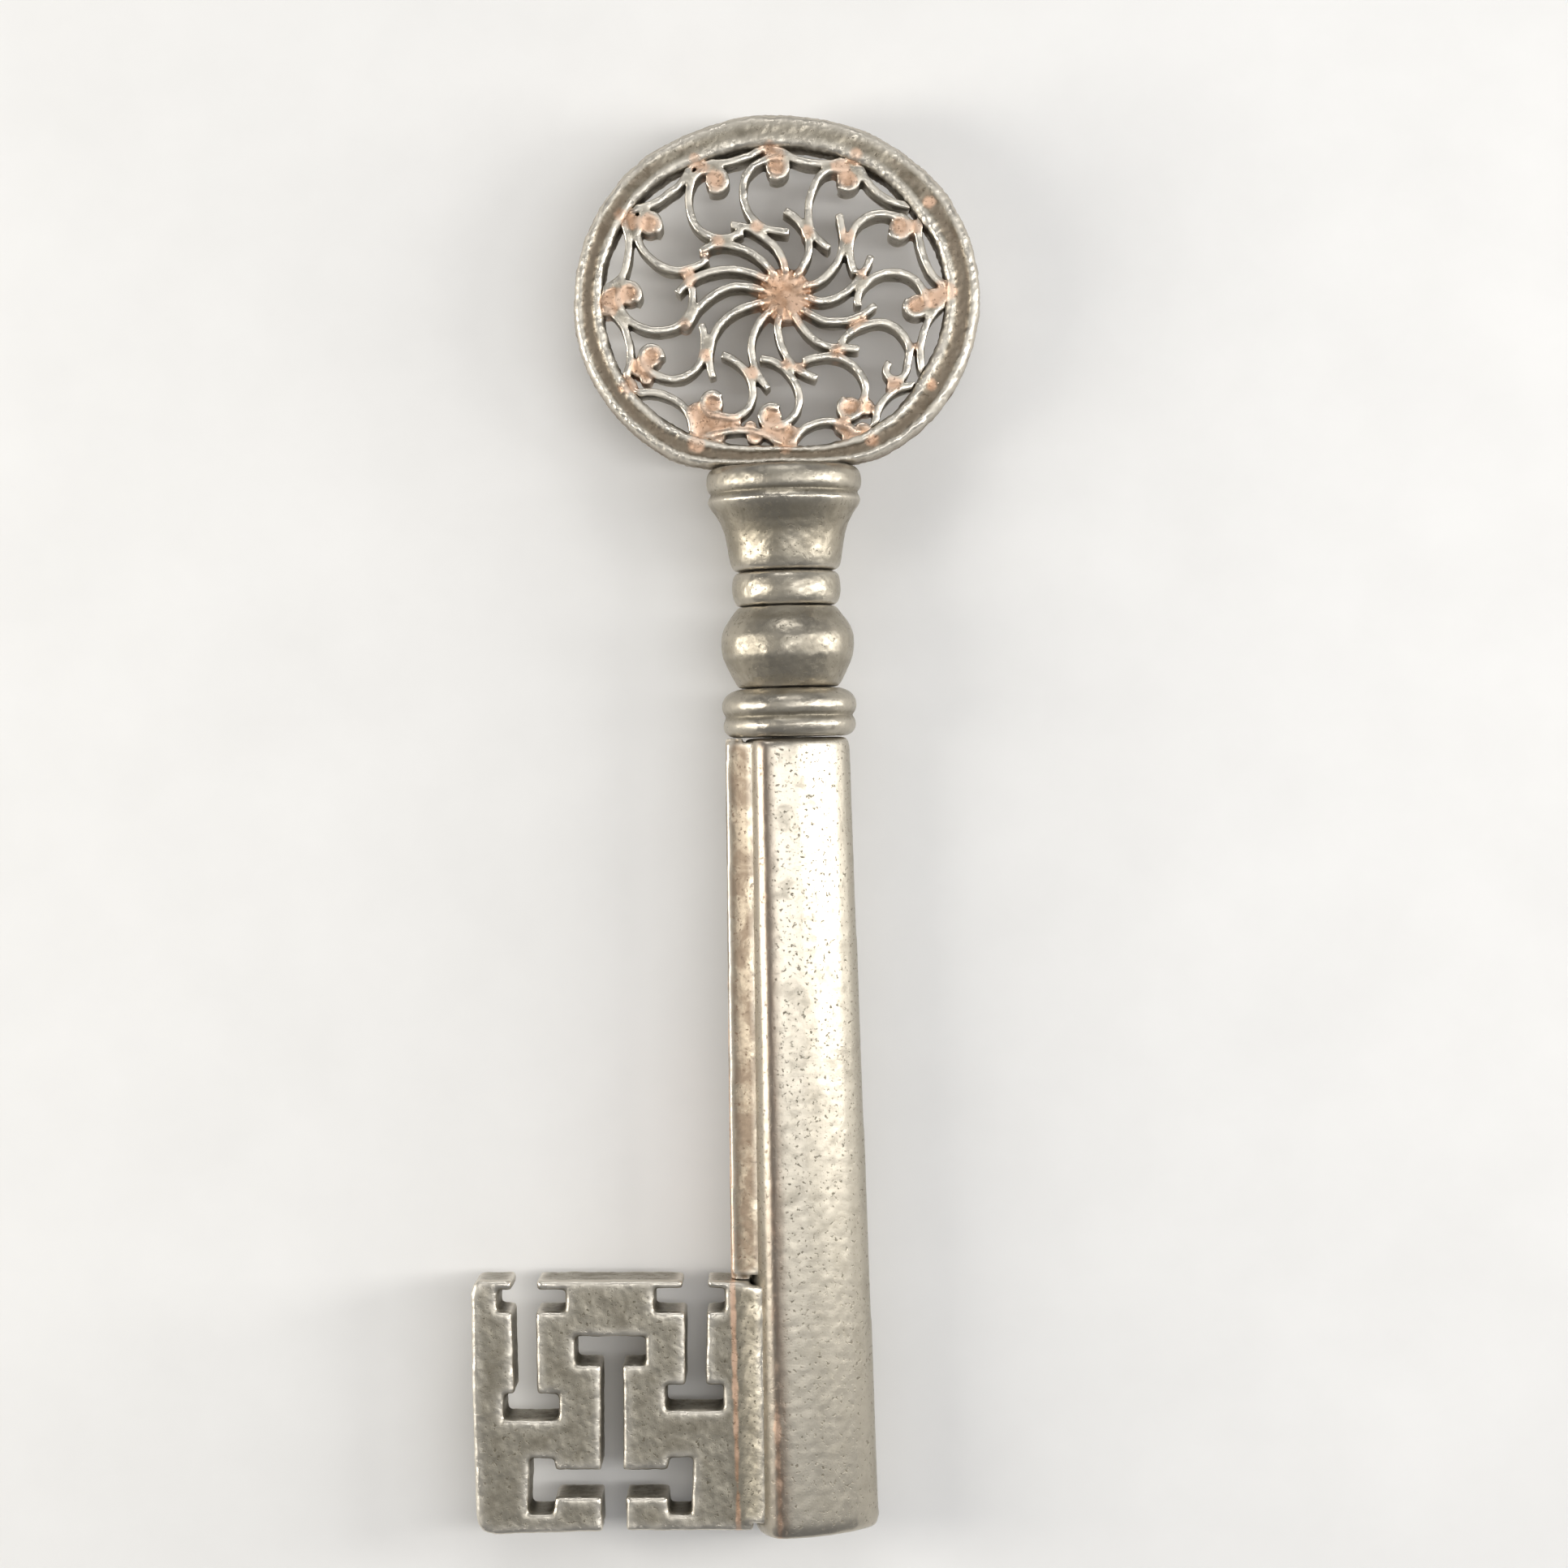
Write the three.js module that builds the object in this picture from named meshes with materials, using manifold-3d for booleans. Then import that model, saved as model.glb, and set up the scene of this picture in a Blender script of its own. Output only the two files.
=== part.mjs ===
// Iron key with a filigree bow, as a three.js scene graph in millimetres, +Z up.
// The key lies on its back: the shank runs along Y, the bow is at +Y, the bit points to -X.
import * as THREE from 'three';
import { mergeVertices } from 'three/addons/utils/BufferGeometryUtils.js';
import Module from 'manifold-3d';

const wasm = await Module();
wasm.setup();

// Driving dimensions. Curves are read off the photograph in its own units and turned to
// millimetres by UNIT; the key leans by LEAN there, round the middle of the bow.
const UNIT = 0.076;
const LEAN = 0.025;
const BOW_X = 960, BOW_Y = 370;

const GAP = 0.09;               // seam kept free between two brazed pieces
const STRIP = 0.62;             // thickness of the strips of the bow
const STRIP_DEPTH = 4.6;        // their depth, front to back
const RING_DEPTH = 5.2;         // depth of the bow's ring
const RING_GROOVE = 0.36;       // depth of the channel along the ring's face
const EYE = 13.5, EYE_END = 11.8;   // radius of a scroll's eye where it starts and ends, photo units
const EYE_FILL = 0.52;          // radius of the braze in an eye
const HUB_R = 2.5, HUB_DEPTH = 3.8;
const SHANK_TOP = 909, SHANK_END = 1882;         // along the photograph, photo units
const SHANK_REACH_TOP = 74, SHANK_REACH_END = 87; // axis to the far edge of the section
const SECTION_BITE = 0.125;     // how far the section is from round; above 1/8 its sides go hollow
const BORE_REACH = 3.7, BORE_BITE = 0.1, BORE_LENGTH = 34;
const RIB_REACH_TOP = 79, RIB_REACH_END = 93;    // axis to the rib's outer face, photo units
const RIB_HALF = 2.5;           // half thickness of the rib
const BIT_DEPTH = 6.4;
const BIT_BEVEL = 0.22;

// A point of the photograph in the key's own plane.
const at = (px, py) => {
  const u = (px - BOW_X) * UNIT, v = (py - BOW_Y) * UNIT;
  const c = 1 / Math.hypot(1, LEAN), s = LEAN * c;
  return new THREE.Vector2(u * c - v * s, -(u * s + v * c));
};
const along = (py) => -(py - BOW_Y) * UNIT / Math.hypot(1, LEAN) * (1 + LEAN * LEAN);

const iron = (colour, roughness, metalness) =>
  new THREE.MeshStandardMaterial({ color: colour, roughness, metalness });
const STEEL = () => iron(0xa59d8c, 0.48, 0.85);
const DARK_STEEL = () => iron(0x8b8372, 0.55, 0.8);
const COPPER = () => iron(0xd8a078, 0.5, 0.8);

// Boolean work on closed solids.
const toManifold = (geometry) => {
  const g = geometry.clone();
  g.deleteAttribute('normal');
  g.deleteAttribute('uv');
  const m = mergeVertices(g, 1e-4);
  const index = [];
  for (let i = 0; i < m.index.count; i += 3) {
    const [a, b, c] = [m.index.getX(i), m.index.getX(i + 1), m.index.getX(i + 2)];
    if (a !== b && b !== c && c !== a) index.push(a, b, c);
  }
  return new wasm.Manifold(new wasm.Mesh({
    numProp: 3,
    vertProperties: new Float32Array(m.attributes.position.array),
    triVerts: new Uint32Array(index),
  }));
};
const toGeometry = (solid) => {
  const mesh = solid.getMesh();
  const g = new THREE.BufferGeometry();
  g.setAttribute('position', new THREE.BufferAttribute(new Float32Array(mesh.vertProperties), 3));
  g.setIndex(new THREE.BufferAttribute(new Uint32Array(mesh.triVerts), 1));
  g.computeVertexNormals();
  return g;
};
const cut = (solid, tools) => tools.reduce((left, tool) => left.subtract(tool), solid);

// A flat strip on edge: a smooth line through the points, given a thickness and a depth.
const strip = (points, thickness, depth, steps) => {
  const line = new THREE.SplineCurve(points).getSpacedPoints(steps);
  const side = (sign) => line.map((p, i) => {
    const t = line[Math.min(i + 1, steps)].clone().sub(line[Math.max(i - 1, 0)]).normalize();
    return new THREE.Vector2(p.x - t.y * sign * thickness / 2, p.y + t.x * sign * thickness / 2);
  });
  const shape = new THREE.Shape([...side(1), ...side(-1).reverse()]);
  const g = new THREE.ExtrudeGeometry(shape, { depth, bevelEnabled: false });
  g.translate(0, 0, -depth / 2);
  return toManifold(g);
};

// A skin over closed rings of points. The first and last ring are capped, or joined if looped.
const loft = (rings, looped) => {
  const n = rings[0].length;
  const flat = rings.flatMap((ring) => ring.flatMap((p) => [p.x, p.y, p.z]));
  const index = [];
  const last = looped ? rings.length : rings.length - 1;
  for (let i = 0; i < last; i++) {
    const a = i * n, b = ((i + 1) % rings.length) * n;
    for (let j = 0; j < n; j++) {
      const k = (j + 1) % n;
      index.push(a + j, b + j, a + k, a + k, b + j, b + k);
    }
  }
  if (!looped) {
    const end = (rings.length - 1) * n;
    for (let j = 1; j < n - 1; j++) index.push(0, j, j + 1, end, end + j + 1, end + j);
  }
  const g = new THREE.BufferGeometry();
  g.setAttribute('position', new THREE.Float32BufferAttribute(flat, 3));
  g.setIndex(index);
  const solid = toManifold(g);
  if (solid.volume() > 0) return solid;
  for (let i = 0; i < index.length; i += 3) [index[i + 1], index[i + 2]] = [index[i + 2], index[i + 1]];
  g.setIndex(index);
  return toManifold(g);
};

// The ring of the bow: reach of its outer and inner edge every 15 degrees, photo units,
// counted from the right and round by the top.
const RING_X = 962, RING_Y = 362;
const RING_OUTER = [244.5, 240.5, 236, 228, 223, 217.5, 216.5, 219.5, 223.5, 234, 241.5, 248.5,
  253, 257, 254.5, 249.5, 242, 223, 212, 220, 234.5, 241, 244.5, 245];
const RING_INNER = [202, 199, 190, 187, 182, 178, 176, 180, 184, 197, 207, 214,
  219, 220, 219, 214, 205, 195, 189, 195, 200, 203, 200, 203];
const RING_STEPS = 64;
const ringReach = (table, angle) => {
  const f = angle / 15, i = Math.floor(f), t = f - i;
  const v = [-1, 0, 1, 2].map((k) => table[(i + k + 24) % 24]);
  return v[1] + 0.5 * t * (v[2] - v[0] + t * (2 * v[0] - 5 * v[1] + 4 * v[2] - v[3]
    + t * (3 * (v[1] - v[2]) + v[3] - v[0])));
};
const ringSolid = (grow) => {
  const half = RING_DEPTH / 2 + (grow ? 1 : 0);
  const rings = [];
  for (let k = 0; k < RING_STEPS; k++) {
    const angle = k * 360 / RING_STEPS, rad = angle * Math.PI / 180;
    const outer = ringReach(RING_OUTER, angle) + grow / UNIT;
    const inner = ringReach(RING_INNER, angle) - grow / UNIT;
    const plain = Math.max(0, Math.cos((angle - 90) * Math.PI / 180)) ** 2;
    const groove = grow ? 0 : RING_GROOVE * (1 - plain);
    const front = [[0, 0.5], [0.1, 0.1], [0.22, 0], [0.38, groove], [0.64, groove],
      [0.78, 0], [0.93, 0.25], [1, 0.9]];
    const ring = [...front.map(([s, d]) => [s, half - d]),
      ...front.map(([s, d]) => [s, d - half]).reverse()];
    rings.push(ring.map(([s, z]) => {
      const r = inner + (outer - inner) * s;
      const p = at(RING_X + r * Math.cos(rad), RING_Y - r * Math.sin(rad));
      return new THREE.Vector3(p.x, p.y, z);
    }));
  }
  return loft(rings, true);
};
const ringRoom = ringSolid(GAP);

const line = (flat) => {
  const points = [];
  for (let i = 0; i < flat.length; i += 2) points.push(at(flat[i], flat[i + 1]));
  return points;
};

// Rim arcs, clockwise from the top: each runs from cusp to cusp and bows inward.
const RIM_ARCS = [
  [948, 176, 958, 188, 972, 197, 987, 203, 1006, 206, 1026, 206, 1042, 199, 1052, 184],
  [1056, 180, 1057, 198, 1061, 215, 1071, 232, 1085, 245, 1102, 254, 1120, 257, 1138, 253, 1150, 242],
  [1152, 244, 1140, 260, 1133, 276, 1131, 295, 1135, 314, 1142, 332, 1151, 346, 1172, 360],
  [1182, 364, 1165, 375, 1151, 387, 1141, 402, 1135, 420, 1133, 440, 1135, 458, 1142, 474, 1156, 488],
  [1162, 480, 1140, 477, 1122, 478, 1106, 482, 1093, 491, 1084, 502, 1079, 516, 1077, 532, 1080, 558],
  [1078, 558, 1066, 545, 1054, 534, 1040, 526, 1020, 521, 1001, 525, 985, 535, 972, 556],
  [966, 560, 955, 545, 941, 537, 925, 533, 903, 533, 882, 537, 866, 545, 852, 562],
  [853, 566, 855, 545, 853, 526, 847, 508, 834, 496, 816, 488, 796, 486, 760, 492],
  [744, 484, 768, 470, 776, 456, 778, 442, 776, 426, 771, 409, 763, 396, 752, 386, 734, 382],
  [734, 368, 752, 357, 766, 347, 772, 334, 775, 318, 776, 304, 774, 290, 768, 276, 752, 262],
  [748, 266, 779, 263, 799, 258, 812, 252, 823, 244, 834, 236, 843, 226, 849, 214, 852, 190],
  [850, 192, 862, 202, 880, 206, 900, 204, 920, 198, 935, 190, 946, 174],
];
const RIM_STEPS = 16;
const arcs = RIM_ARCS.map((flat) => strip(line(flat), STRIP, STRIP_DEPTH, RIM_STEPS));
const arcRoom = RIM_ARCS.map((flat) =>
  strip(line(flat), STRIP + 2 * GAP, STRIP_DEPTH + 2, RIM_STEPS));

// Scrolls, clockwise from the top: tail and body of each, then the middle of its eye, which
// the strip rolls up round.
const SCROLLS = [
  [[972, 290, 956, 288, 941, 284, 929, 275, 921, 263, 916, 247, 916, 232, 920, 219, 930, 208, 944, 201], [956, 211]],
  [[1022, 310, 1012, 303, 1003, 293, 997, 280, 996, 265, 997, 250, 1002, 235, 1009, 222, 1020, 214, 1035, 213], [1043, 225]],
  [[1053, 340, 1049, 329, 1047, 318, 1047, 305, 1049, 293, 1054, 283, 1063, 274, 1076, 268, 1090, 267, 1102, 270], [1107, 284]],
  [[1057, 381, 1056, 372, 1060, 361, 1068, 351, 1080, 343, 1094, 339, 1109, 340, 1122, 345, 1132, 354, 1139, 366], [1128, 379]],
  [[1035, 426, 1043, 416, 1054, 408, 1067, 403, 1081, 400, 1094, 402, 1106, 409, 1115, 420, 1120, 433, 1118, 447], [1103, 458]],
  [[990, 448, 1002, 444, 1016, 442, 1031, 443, 1044, 448, 1055, 457, 1063, 469, 1066, 482, 1063, 496], [1047, 504]],
  [[937, 445, 950, 447, 963, 454, 974, 466, 982, 480, 985, 494, 982, 508, 974, 519, 962, 527], [951, 515]],
  [[890, 440, 904, 446, 917, 457, 925, 471, 928, 486, 925, 500, 917, 511, 905, 517, 890, 515], [879, 500]],
  [[865, 402, 868, 416, 868, 431, 865, 445, 858, 457, 846, 466, 831, 470, 815, 467, 800, 460], [804, 443]],
  [[854, 358, 854, 367, 853, 380, 847, 394, 837, 404, 821, 410, 802, 410, 785, 404, 771, 392, 763, 376], [776, 366]],
  [[872, 322, 862, 330, 848, 335, 830, 336, 813, 330, 800, 319, 790, 306, 786, 292], [801, 281]],
  [[915, 290, 901, 296, 885, 297, 868, 291, 857, 280, 851, 265, 849, 249, 851, 234, 857, 222, 868, 215], [882, 227]],
];
const SCROLL_STEPS = 40, EYE_TURN = 265, EYE_POINTS = 7;
const scrollPoints = ([body, [ex, ey]]) => {
  const points = line(body);
  const start = Math.atan2(body[body.length - 1] - ey, body[body.length - 2] - ex);
  for (let k = 1; k <= EYE_POINTS; k++) {
    const turn = start + (EYE_TURN * k / EYE_POINTS) * Math.PI / 180;
    const r = EYE + (EYE_END - EYE) * k / EYE_POINTS;
    points.push(at(ex + r * Math.cos(turn), ey + r * Math.sin(turn)));
  }
  return points;
};
const scrollRoom = SCROLLS.map((s) =>
  strip(scrollPoints(s), STRIP + 2 * GAP, STRIP_DEPTH + 2, SCROLL_STEPS));

// Spokes, clockwise from one o'clock: hub end first, free tip last.
const SPOKES = [
  [981, 343, 989, 332, 996, 316, 996, 300, 990, 285, 981, 273, 967, 263],
  [992, 355, 1002, 354, 1014, 347, 1026, 335, 1034, 320, 1038, 304, 1037, 287, 1033, 268],
  [995, 369, 1006, 374, 1022, 373, 1036, 367, 1049, 357, 1060, 344, 1069, 329, 1072, 319],
  [990, 385, 1000, 391, 1014, 398, 1031, 399, 1048, 397, 1064, 390, 1078, 379],
  [979, 391, 985, 401, 996, 415, 1010, 426, 1027, 431, 1044, 432, 1058, 433],
  [960, 395, 958, 406, 961, 424, 968, 440, 978, 454, 991, 463, 1006, 469],
  [947, 388, 936, 400, 928, 416, 926, 434, 929, 452, 936, 468, 947, 482],
  [939, 376, 922, 380, 903, 389, 888, 402, 879, 418, 875, 436, 875, 452, 879, 468],
  [939, 361, 925, 357, 906, 356, 887, 362, 870, 374, 857, 388, 847, 406],
  [945, 348, 930, 341, 910, 336, 889, 336, 868, 341, 850, 350, 835, 365],
  [954, 342, 945, 331, 928, 316, 906, 307, 884, 305, 863, 313],
  [968, 339, 965, 325, 956, 309, 941, 296, 923, 285, 901, 281],
];
const SPOKE_STEPS = 14;
const spokeRoom = SPOKES.map((s) => strip(line(s), STRIP + 2 * GAP, STRIP_DEPTH + 2, SPOKE_STEPS));

// Turned neck: distance along the photograph and radius, photo units.
const CAPITAL = [[576.5, 86], [580, 92], [587, 95], [597, 95.5], [604, 94], [608.5, 89.5], [612, 92],
  [618, 94.5], [625, 91], [632, 86], [644, 79], [656, 74.5], [672, 71.5], [690, 69], [700, 66], [703.5, 61]];
const BEAD = [[705, 60], [709, 64.5], [717, 66.5], [728, 67], [738, 65.5], [743, 63], [746.5, 60]];
const KNOP = [[748, 60], [752.5, 64], [759, 68.5], [766, 74], [774, 78.5], [784, 81.5], [796, 82],
  [808, 80.5], [820, 75.5], [832, 70], [841, 65], [847, 61]];
const COLLAR = [[848.5, 62], [852, 72], [857, 78.5], [864, 82.5], [872, 83], [878, 81], [882.5, 77],
  [887, 80.5], [893, 82], [900, 80.5], [905, 76], [907.5, 70]];
const LATHE_STEPS = 32;
const turned = (profile) => {
  const points = profile.map(([y, r]) => new THREE.Vector2(r * UNIT, along(y)));
  points.unshift(new THREE.Vector2(0, points[0].y));
  points.push(new THREE.Vector2(0, points[points.length - 1].y));
  const g = new THREE.LatheGeometry(points.reverse(), LATHE_STEPS);
  const solid = toManifold(g);
  return solid;
};

// Section of the shank: a triangle with swelling sides and round edges, one of them away from
// the bit. The distance of its tangents from the axis rises and falls three times round it.
const section = (reach, bite, y, steps) => {
  const mean = reach / (1 + bite), wave = mean * bite;
  return Array.from({ length: steps }, (_, k) => {
    const a = 2 * Math.PI * k / steps;
    const far = mean + wave * Math.cos(3 * a), turn = -3 * wave * Math.sin(3 * a);
    return new THREE.Vector3(far * Math.cos(a) - turn * Math.sin(a), y,
      far * Math.sin(a) + turn * Math.cos(a));
  });
};
const reachAt = (py) => UNIT * (SHANK_REACH_TOP
  + (SHANK_REACH_END - SHANK_REACH_TOP) * (py - SHANK_TOP) / (SHANK_END - SHANK_TOP));
const flatAt = (py) => -reachAt(py) * (1 - SECTION_BITE) / (1 + SECTION_BITE);
const shankSolid = () => {
  const stations = [[SHANK_TOP, 1], [SHANK_END - 12, 1], [SHANK_END - 5, 0.985], [SHANK_END, 0.95]];
  const outer = loft(stations.map(([py, s]) =>
    section(reachAt(py) * s, SECTION_BITE, along(py), 30)), false);
  const tip = along(SHANK_END);
  const bore = loft([[tip - 1, 1.05], [tip, 1.05], [tip + 0.5, 1], [tip + BORE_LENGTH, 0.97],
    [tip + BORE_LENGTH + 1.2, 0.4]].map(([y, s]) => section(BORE_REACH * s, BORE_BITE, y, 24)), false);
  return cut(outer, [bore]);
};

// Rib on the bit's side. Its two arrises are filed in a row of scoops, a small one between
// each pair of large ones.
const SCOOPS = [942, 1093, 1255, 1412, 1541];
const NICKS = [1018, 1174, 1334, 1484];
const RIB_STEPS = 46;
const ribSolid = () => {
  const start = SHANK_TOP, end = 1570;
  const rings = [];
  for (let k = 0; k <= RIB_STEPS; k++) {
    const py = start + (end - start) * k / RIB_STEPS;
    const dip = (list, width) => list.reduce((sum, c) =>
      sum + Math.max(0, 1 - ((py - c) / width) ** 2), 0);
    const chamfer = 0.5 + 0.85 * dip(SCOOPS, 30) + 0.3 * dip(NICKS, 9);
    const inner = flatAt(py) - GAP;
    const share = (py - SHANK_TOP) / (SHANK_END - SHANK_TOP);
    const outer = -UNIT * (RIB_REACH_TOP + (RIB_REACH_END - RIB_REACH_TOP) * share);
    const profile = [[inner, RIB_HALF + 0.35], [inner - 0.5, RIB_HALF], [outer + chamfer, RIB_HALF],
      [outer + 0.18, RIB_HALF - 0.85 * chamfer], [outer, RIB_HALF - 0.95 * chamfer - 0.2]];
    rings.push([...profile, ...profile.map(([x, z]) => [x, -z]).reverse()]
      .map(([x, z]) => new THREE.Vector3(x, along(py), z)));
  }
  return loft(rings, false);
};

// The bit, with its ward cuts: two that enter from the bow's side, one from the tip's side.
const bitSolid = () => {
  const shape = new THREE.Shape();
  const go = (list) => {
    for (let i = 0; i < list.length; i += 2) {
      const p = at(list[i], list[i + 1]);
      if (shape.curves.length || i) shape.lineTo(p.x, p.y);
      else shape.moveTo(p.x, p.y);
    }
  };
  go([592, 1572, 633, 1572, 633, 1584, 616, 1584, 616, 1610, 634, 1610, 637, 1711, 624, 1711, 624, 1742,
    691, 1742, 691, 1711, 664, 1711, 663, 1610, 699, 1610, 699, 1584, 664, 1584, 664, 1572]);
  go([842, 1572, 842, 1582, 808, 1582, 808, 1610, 846, 1610, 846, 1700, 822, 1700, 822, 1730,
    892, 1730, 892, 1700, 870, 1700, 872, 1610, 894, 1610, 894, 1582, 873, 1582, 873, 1572]);
  const top = along(1572), low = along(1876);
  shape.lineTo(flatAt(1572) - GAP - 0.02, top);
  shape.lineTo(flatAt(1876) - GAP - 0.02, low);
  go([852, 1878, 774, 1878, 773, 1836, 824, 1836, 826, 1857, 853, 1857, 855, 1789, 826, 1789, 824, 1804,
    770, 1804, 769, 1675, 797, 1675, 797, 1641, 711, 1641, 711, 1675, 743, 1675, 743, 1804, 687, 1804,
    685, 1790, 656, 1790, 654, 1857, 684, 1857, 687, 1836, 743, 1836, 745, 1879,
    640, 1882, 612, 1883, 600, 1880, 593, 1872, 590, 1858, 585, 1700, 584, 1590, 587, 1577]);
  const g = new THREE.ExtrudeGeometry(shape, {
    depth: BIT_DEPTH - 2 * BIT_BEVEL, bevelEnabled: true, bevelThickness: BIT_BEVEL,
    bevelSize: BIT_BEVEL, bevelOffset: -BIT_BEVEL, bevelSegments: 1,
  });
  g.translate(0, 0, -BIT_DEPTH / 2 + BIT_BEVEL);
  return toManifold(g);
};

// Assembly.
const key = new THREE.Group();
key.name = 'key';
const bow = new THREE.Group(), neck = new THREE.Group(), stem = new THREE.Group();
bow.name = 'bow';
neck.name = 'neck';
stem.name = 'stem';
key.add(bow, neck, stem);
const add = (group, name, solid, material) => {
  const mesh = new THREE.Mesh(toGeometry(solid), material);
  mesh.name = name;
  group.add(mesh);
};
const number = (k) => String(k + 1).padStart(2, '0');

add(bow, 'bow_ring', ringSolid(0), STEEL());
arcs.forEach((solid, k) => {
  const before = k > 0 ? [arcRoom[k - 1]] : [];
  const after = k === 11 ? [arcRoom[0]] : [];
  add(bow, `rim_arc_${number(k)}`, cut(solid, [ringRoom, ...before, ...after]), STEEL());
});
SCROLLS.forEach((s, k) => {
  const solid = strip(scrollPoints(s), STRIP, STRIP_DEPTH, SCROLL_STEPS);
  add(bow, `scroll_${number(k)}`, cut(solid, [ringRoom, ...arcRoom]), STEEL());
});
SPOKES.forEach((s, k) => {
  const solid = strip(line(s), STRIP, STRIP_DEPTH, SPOKE_STEPS);
  add(bow, `spoke_${number(k)}`, cut(solid, scrollRoom), STEEL());
});
SCROLLS.forEach(([, [ex, ey]], k) => {
  if (k === 4) return;
  const p = at(ex, ey);
  const g = new THREE.CylinderGeometry(EYE_FILL, EYE_FILL, STRIP_DEPTH - 0.5, 14);
  g.rotateX(Math.PI / 2);
  g.translate(p.x, p.y, 0);
  add(bow, `eye_braze_${number(k)}`, toManifold(g), COPPER());
});
const hub = new THREE.CylinderGeometry(HUB_R, HUB_R, HUB_DEPTH, 36);
hub.rotateX(Math.PI / 2);
const hubAt = at(967, 367);
hub.translate(hubAt.x, hubAt.y, 0);
add(bow, 'hub_braze', cut(toManifold(hub), spokeRoom), COPPER());

add(neck, 'capital', turned(CAPITAL), DARK_STEEL());
add(neck, 'neck_bead', turned(BEAD), DARK_STEEL());
add(neck, 'knop', turned(KNOP), STEEL());
add(neck, 'collar', turned(COLLAR), STEEL());
add(stem, 'shank', shankSolid(), STEEL());
add(stem, 'rib', ribSolid(), DARK_STEEL());
add(stem, 'bit', bitSolid(), STEEL());

// The origin is at the middle of the box, at its bottom.
const box = new THREE.Box3().setFromObject(key);
const middle = box.getCenter(new THREE.Vector3());
key.position.set(-middle.x, -middle.y, -box.min.z);
key.updateMatrixWorld(true);

export default key;
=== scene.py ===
# %% [markdown]
# # An iron key with a filigree bow
# The real key is forged and filed iron. Its bow is an oval ring that holds a rosette of thin
# strips, brazed wherever they touch. Below it come a turned neck, a three-sided hollow shank
# with a rib, and a bit with ward cuts.
#
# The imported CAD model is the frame: crisp solids, one for each strip and piece. Here they are
# dressed. Copies of them are fused, softened and roughened as filed iron is, and get iron,
# patina and braze for their finish. Nothing is moved, so the dressed key fits the solids.

# %% Load the frame
import math

import bmesh
import bpy
import numpy as np
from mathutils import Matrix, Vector


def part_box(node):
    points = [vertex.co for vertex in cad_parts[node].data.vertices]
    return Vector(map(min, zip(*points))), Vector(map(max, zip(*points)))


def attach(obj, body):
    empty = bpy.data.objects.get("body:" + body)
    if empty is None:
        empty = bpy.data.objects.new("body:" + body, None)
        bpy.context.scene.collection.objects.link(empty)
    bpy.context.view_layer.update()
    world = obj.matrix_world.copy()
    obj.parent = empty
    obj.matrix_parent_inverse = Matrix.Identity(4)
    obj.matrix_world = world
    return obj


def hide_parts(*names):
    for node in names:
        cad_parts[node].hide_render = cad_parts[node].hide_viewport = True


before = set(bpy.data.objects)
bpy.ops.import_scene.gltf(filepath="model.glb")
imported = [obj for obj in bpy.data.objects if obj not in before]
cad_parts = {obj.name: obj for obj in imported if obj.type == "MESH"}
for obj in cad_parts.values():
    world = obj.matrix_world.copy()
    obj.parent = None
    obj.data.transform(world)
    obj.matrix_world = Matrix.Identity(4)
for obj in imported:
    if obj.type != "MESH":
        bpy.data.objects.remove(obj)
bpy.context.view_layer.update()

# %% [markdown]
# ## Where things are
# Places on the key were measured in units of the photograph, 0.076 mm each. The key leans a
# little in it. One function turns a measured place into the frame, so every list below can
# keep the numbers as they were measured. The axis of the shank is the middle of the collar.

# %% Places
UNIT = 0.076e-3
LEAN = 0.025
BOW_X, BOW_Y = 960, 370
COLLAR_TOP_AT = 848.5
PICTURE_SIZE = 1932
collar_low, collar_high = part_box("collar")
AXIS_X = (collar_low.x + collar_high.x) / 2
AXIS_Z = (collar_low.z + collar_high.z) / 2
TILT = 1 / math.hypot(1, LEAN)


def at(px, py):
    """A place on the photograph, in the frame's metres."""
    u, v = (px - BOW_X) * UNIT, (py - BOW_Y) * UNIT
    along = -(COLLAR_TOP_AT - BOW_Y) * UNIT * math.hypot(1, LEAN)
    y0 = collar_high.y - along
    return AXIS_X + (u - v * LEAN) * TILT, y0 - (u * LEAN + v) * TILT


print(f"axis of the shank: x {AXIS_X * 1000:.2f} mm, z {AXIS_Z * 1000:.2f} mm")

# %% [markdown]
# ## Helpers for node trees
# A material is a tree of small nodes. These helpers add one node each and return its output,
# so a finish can be written in the order in which it is thought of.

# %% Node helpers: groups and numbers
def new_group(name, inputs, outputs):
    """An empty shader node group with its sockets, and its two end nodes."""
    group = bpy.data.node_groups.new(name, "ShaderNodeTree")
    for label, kind, value in inputs:
        socket = group.interface.new_socket(label, in_out="INPUT", socket_type=kind)
        socket.default_value = value
    for label, kind in outputs:
        group.interface.new_socket(label, in_out="OUTPUT", socket_type=kind)
    return group, group.nodes.new("NodeGroupInput"), group.nodes.new("NodeGroupOutput")


def math_node(tree, operation, a, b, clamp=False):
    node = tree.nodes.new("ShaderNodeMath")
    node.operation = operation
    node.use_clamp = clamp
    for socket, value in zip(node.inputs, (a, b)):
        if isinstance(value, (int, float)):
            socket.default_value = value
        else:
            tree.links.new(value, socket)
    return node.outputs[0]


def smooth_step(tree, value, low, high):
    node = tree.nodes.new("ShaderNodeMapRange")
    node.interpolation_type = "SMOOTHSTEP"
    node.inputs["From Min"].default_value = low
    node.inputs["From Max"].default_value = high
    tree.links.new(value, node.inputs["Value"])
    return node.outputs["Result"]


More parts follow.
